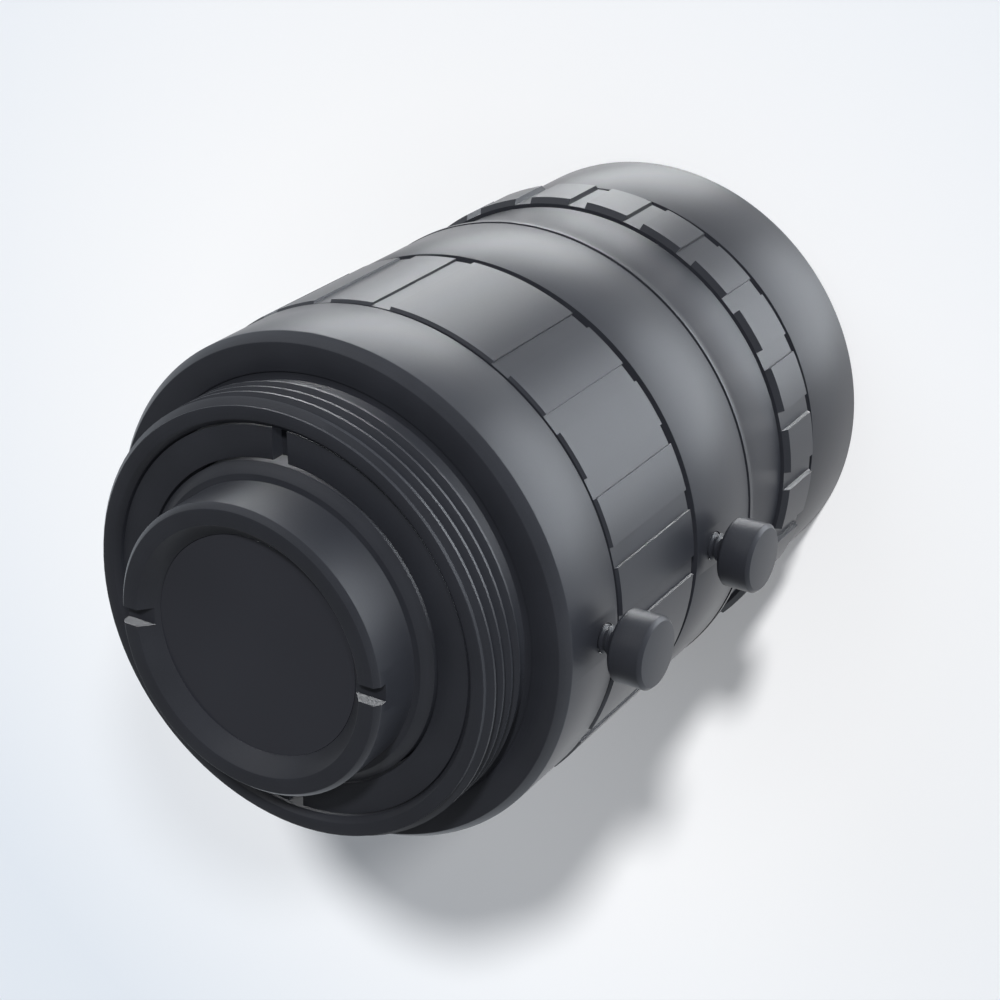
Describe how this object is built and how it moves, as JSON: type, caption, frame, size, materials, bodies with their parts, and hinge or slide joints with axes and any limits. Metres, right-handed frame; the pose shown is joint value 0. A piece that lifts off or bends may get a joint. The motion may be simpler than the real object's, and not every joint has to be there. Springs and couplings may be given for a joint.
{
  "type": "c-mount lens",
  "caption": "Black manual machine-vision lens with a C-mount thread, gripped iris and focus rings, two plain lock screws and a working iris, standing on its front rim.",
  "frame": {"origin": "under the middle of the bounding box, on the plane of the front rim; the lens axis stands at X = -1.51 mm, Y = 0", "axes": "+Z along the lens axis from the front rim to the camera side, +X along the two lock screws"},
  "size_m": [0.0329, 0.0298, 0.0445],
  "materials": {
    "black_anodised": "matt black anodised",
    "inner_black": "dull black anodised",
    "coated_glass": "polished, coated",
    "blade_steel": "blackened",
    "steel": "ground",
    "brass": "turned"
  },
  "bodies": {
    "fixed_barrel": {"mount_barrel": "black_anodised", "rear_retaining_ring": "black_anodised", "rear_cell": "black_anodised", "rear_lens": "coated_glass", "rear_spacer": "inner_black", "fourth_lens": "coated_glass", "rear_cell_retainer": "inner_black", "iris_housing": "inner_black", "cam_keeper_ring": "inner_black", "main_barrel": "black_anodised", "focus_snap_ring": "steel", "focus_guide_pin": "steel"},
    "iris_turning": {"iris_ring": "black_anodised", "iris_drive_pin": "steel", "iris_cam_ring": "brass"},
    "blade_1": {"iris_blade_1": "blade_steel"},
    "blade_2": {"iris_blade_2": "blade_steel"},
    "blade_3": {"iris_blade_3": "blade_steel"},
    "blade_4": {"iris_blade_4": "blade_steel"},
    "blade_5": {"iris_blade_5": "blade_steel"},
    "blade_6": {"iris_blade_6": "blade_steel"},
    "focus_turning": {"focus_ring": "black_anodised"},
    "front_sliding": {"front_barrel": "black_anodised", "front_lens": "coated_glass", "second_lens": "coated_glass", "third_lens": "coated_glass", "inner_spacer": "inner_black", "front_spacer": "inner_black", "front_retaining_ring": "inner_black"},
    "iris_pad": {"iris_lock_pad": "brass"},
    "iris_screw": {"iris_lock_screw": "black_anodised"},
    "focus_pad": {"focus_lock_pad": "brass"},
    "focus_screw": {"focus_lock_screw": "black_anodised"}
  },
  "joints": [
    {"name": "iris_turn", "type": "hinge", "parent": "fixed_barrel", "child": "iris_turning", "pos_m": [-0.00151, 0, 0.0275], "axis": [0, 0, 1], "range_deg": [0, 45]},
    {"name": "blade_1_swing", "type": "hinge", "parent": "fixed_barrel", "child": "blade_1", "pos_m": [0.00789, 0, 0.0285], "axis": [0, 0, 1], "range_deg": [0, 30]},
    {"name": "blade_2_swing", "type": "hinge", "parent": "fixed_barrel", "child": "blade_2", "pos_m": [0.00319, 0.00814, 0.0285], "axis": [0, 0, 1], "range_deg": [0, 30]},
    {"name": "blade_3_swing", "type": "hinge", "parent": "fixed_barrel", "child": "blade_3", "pos_m": [-0.00621, 0.00814, 0.0285], "axis": [0, 0, 1], "range_deg": [0, 30]},
    {"name": "blade_4_swing", "type": "hinge", "parent": "fixed_barrel", "child": "blade_4", "pos_m": [-0.01091, 0, 0.0285], "axis": [0, 0, 1], "range_deg": [0, 30]},
    {"name": "blade_5_swing", "type": "hinge", "parent": "fixed_barrel", "child": "blade_5", "pos_m": [-0.00621, -0.00814, 0.0285], "axis": [0, 0, 1], "range_deg": [0, 30]},
    {"name": "blade_6_swing", "type": "hinge", "parent": "fixed_barrel", "child": "blade_6", "pos_m": [0.00319, -0.00814, 0.0285], "axis": [0, 0, 1], "range_deg": [0, 30]},
    {"name": "focus_turn", "type": "hinge", "parent": "fixed_barrel", "child": "focus_turning", "pos_m": [-0.00151, 0, 0.0115], "axis": [0, 0, 1], "range_deg": [0, 150]},
    {"name": "focus_slide", "type": "slide", "parent": "fixed_barrel", "child": "front_sliding", "axis": [0, 0, -1], "range_m": [0, 0.002]},
    {"name": "iris_pad_slide", "type": "slide", "parent": "fixed_barrel", "child": "iris_pad", "axis": [1, 0, 0], "range_m": [-0.0002333, 0.00035]},
    {"name": "iris_lock_turn", "type": "hinge", "parent": "iris_pad", "child": "iris_screw", "pos_m": [0.0145, 0, 0.03321], "axis": [1, 0, 0], "range_deg": [-240, 360]},
    {"name": "focus_pad_slide", "type": "slide", "parent": "fixed_barrel", "child": "focus_pad", "axis": [1, 0, 0], "range_m": [-0.0002333, 0.00035]},
    {"name": "focus_lock_turn", "type": "hinge", "parent": "focus_pad", "child": "focus_screw", "pos_m": [0.0145, 0, 0.02075], "axis": [1, 0, 0], "range_deg": [-240, 360]}
  ],
  "couplings": [
    {"joint": "blade_1_swing", "follows": "iris_turn", "ratio": 0.66667},
    {"joint": "blade_2_swing", "follows": "iris_turn", "ratio": 0.66667},
    {"joint": "blade_3_swing", "follows": "iris_turn", "ratio": 0.66667},
    {"joint": "blade_4_swing", "follows": "iris_turn", "ratio": 0.66667},
    {"joint": "blade_5_swing", "follows": "iris_turn", "ratio": 0.66667},
    {"joint": "blade_6_swing", "follows": "iris_turn", "ratio": 0.66667},
    {"joint": "focus_turn", "follows": "focus_slide", "rad_per_m": 1309},
    {"joint": "iris_lock_turn", "follows": "iris_pad_slide", "rad_per_m": 17952},
    {"joint": "focus_lock_turn", "follows": "focus_pad_slide", "rad_per_m": 17952}
  ]
}
